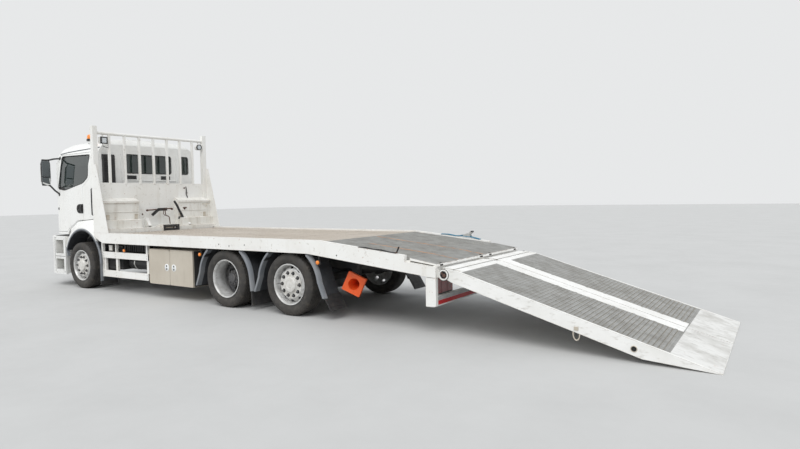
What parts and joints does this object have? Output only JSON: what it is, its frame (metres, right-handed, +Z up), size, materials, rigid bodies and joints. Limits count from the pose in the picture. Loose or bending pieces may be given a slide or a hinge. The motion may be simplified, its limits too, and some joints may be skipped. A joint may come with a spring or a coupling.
{
  "type": "car transporter truck",
  "caption": "Cab-over flatbed truck with rigid rear axles, wooden deck, ribbed sloping tail and lowered full-width loading ramps for carrying a car.",
  "frame": {"origin": "middle of the bounding box on the ground, with the ramps lowered", "axes": "+X forward, +Y to the truck's left, +Z up"},
  "size_m": [12.42, 2.83, 3.109],
  "materials": {
    "white_paint": "satin gloss",
    "bed_paint": "weathered satin",
    "chassis_paint": "satin",
    "rubber": "matte",
    "wheel_paint": "satin",
    "grey_plastic": "grained",
    "black_plastic": "matte",
    "glass": "polished",
    "aluminium": "brushed",
    "galvanised": "worn",
    "deck_wood": "weathered",
    "orange_plastic": "satin",
    "seat_cloth": "woven"
  },
  "bodies": {
    "chassis": {"chassis_frame": "chassis_paint", "frame_rail_left": "chassis_paint", "engine_and_shaft": "chassis_paint", "front_axle": "chassis_paint", "drive_axle": "chassis_paint", "tag_axle": "chassis_paint", "bed_frame": "bed_paint", "wood_deck": "deck_wood", "slope_deck": "galvanised", "rear_underrun": "bed_paint", "headboard": "bed_paint", "lockers_and_fairlead": "bed_paint", "bumper": "white_paint", "front_fender_left": "grey_plastic", "front_fender_right": "grey_plastic", "side_guard_left": "bed_paint", "side_guard_right": "bed_paint", "toolbox": "aluminium", "battery_box_and_air_tanks": "black_plastic", "fuel_tank_and_silencer": "aluminium", "fenders_left": "grey_plastic", "fenders_right": "grey_plastic", "traffic_cones": "orange_plastic"},
    "cab": {"cab_body": "white_paint", "cab_roof": "white_paint", "front_panel": "white_paint", "windscreen": "glass", "rear_window": "glass", "cab_tilt_frame": "chassis_paint", "air_intake": "black_plastic", "seats": "seat_cloth", "dashboard_and_wheel": "black_plastic"},
    "knuckle_left": {"knuckle_left": "chassis_paint"},
    "front_wheel_left": {"front_tyre_left": "rubber", "front_rim_left": "wheel_paint"},
    "drive_wheel_left": {"drive_outer_tyre_left": "rubber", "drive_inner_tyre_left": "rubber", "drive_rim_left": "wheel_paint"},
    "tag_wheel_left": {"tag_tyre_left": "rubber", "tag_rim_left": "wheel_paint"},
    "door_left": {"door_left": "white_paint", "door_window_left": "glass", "mirror_left": "black_plastic"},
    "ramp_left": {"ramp_left": "bed_paint", "ramp_grating_left": "galvanised"},
    "knuckle_right": {"knuckle_right": "chassis_paint"},
    "front_wheel_right": {"front_tyre_right": "rubber", "front_rim_right": "wheel_paint"},
    "drive_wheel_right": {"drive_outer_tyre_right": "rubber", "drive_inner_tyre_right": "rubber", "drive_rim_right": "wheel_paint"},
    "tag_wheel_right": {"tag_tyre_right": "rubber", "tag_rim_right": "wheel_paint"},
    "door_right": {"door_right": "white_paint", "door_window_right": "glass", "mirror_right": "black_plastic"},
    "ramp_right": {"ramp_right": "bed_paint", "ramp_grating_right": "galvanised"},
    "toolbox_door_front": {"toolbox_door_front": "aluminium"},
    "toolbox_door_rear": {"toolbox_door_rear": "aluminium"}
  },
  "joints": [
    {"name": "steer_left", "type": "hinge", "parent": "chassis", "child": "knuckle_left", "pos_m": [4.79, 0.93, 0.45], "axis": [0, 0, 1], "range_deg": [-32, 32]},
    {"name": "steer_right", "type": "hinge", "parent": "chassis", "child": "knuckle_right", "pos_m": [4.79, -0.93, 0.45], "axis": [0, 0, 1], "range_deg": [-32, 32]},
    {"name": "front_wheel_left_spin", "type": "hinge", "parent": "knuckle_left", "child": "front_wheel_left", "pos_m": [4.79, 1.094, 0.45], "axis": [0, 1, 0], "continuous": true},
    {"name": "drive_wheel_left_spin", "type": "hinge", "parent": "chassis", "child": "drive_wheel_left", "pos_m": [0.59, 0.929, 0.45], "axis": [0, 1, 0], "continuous": true},
    {"name": "tag_wheel_left_spin", "type": "hinge", "parent": "chassis", "child": "tag_wheel_left", "pos_m": [-0.76, 1.094, 0.45], "axis": [0, 1, 0], "continuous": true},
    {"name": "front_wheel_right_spin", "type": "hinge", "parent": "knuckle_right", "child": "front_wheel_right", "pos_m": [4.79, -1.094, 0.45], "axis": [0, 1, 0], "continuous": true},
    {"name": "drive_wheel_right_spin", "type": "hinge", "parent": "chassis", "child": "drive_wheel_right", "pos_m": [0.59, -0.929, 0.45], "axis": [0, 1, 0], "continuous": true},
    {"name": "tag_wheel_right_spin", "type": "hinge", "parent": "chassis", "child": "tag_wheel_right", "pos_m": [-0.76, -1.094, 0.45], "axis": [0, 1, 0], "continuous": true},
    {"name": "cab_tilt", "type": "hinge", "parent": "chassis", "child": "cab", "pos_m": [6.11, 0, 0.66], "axis": [0, 1, 0], "range_deg": [0, 50]},
    {"name": "door_left_hinge", "type": "hinge", "parent": "cab", "child": "door_left", "pos_m": [5.88, 1.112, 1.8], "axis": [0, 0, -1], "range_deg": [0, 70]},
    {"name": "door_right_hinge", "type": "hinge", "parent": "cab", "child": "door_right", "pos_m": [5.88, -1.112, 1.8], "axis": [0, 0, 1], "range_deg": [0, 70]},
    {"name": "ramp_left_hinge", "type": "hinge", "parent": "chassis", "child": "ramp_left", "pos_m": [-3.318, 0.64, 0.746], "axis": [0, 1, 0], "range_deg": [0, 105]},
    {"name": "ramp_right_hinge", "type": "hinge", "parent": "chassis", "child": "ramp_right", "pos_m": [-3.318, -0.64, 0.746], "axis": [0, 1, 0], "range_deg": [0, 105]},
    {"name": "toolbox_door_front_hinge", "type": "hinge", "parent": "chassis", "child": "toolbox_door_front", "pos_m": [2.577, 1.222, 0.55], "axis": [0, 0, -1], "range_deg": [0, 100]},
    {"name": "toolbox_door_rear_hinge", "type": "hinge", "parent": "chassis", "child": "toolbox_door_rear", "pos_m": [1.381, 1.222, 0.55], "axis": [0, 0, 1], "range_deg": [0, 100]}
  ],
  "couplings": [
    {"joint": "steer_right", "follows": "steer_left", "ratio": 1}
  ]
}
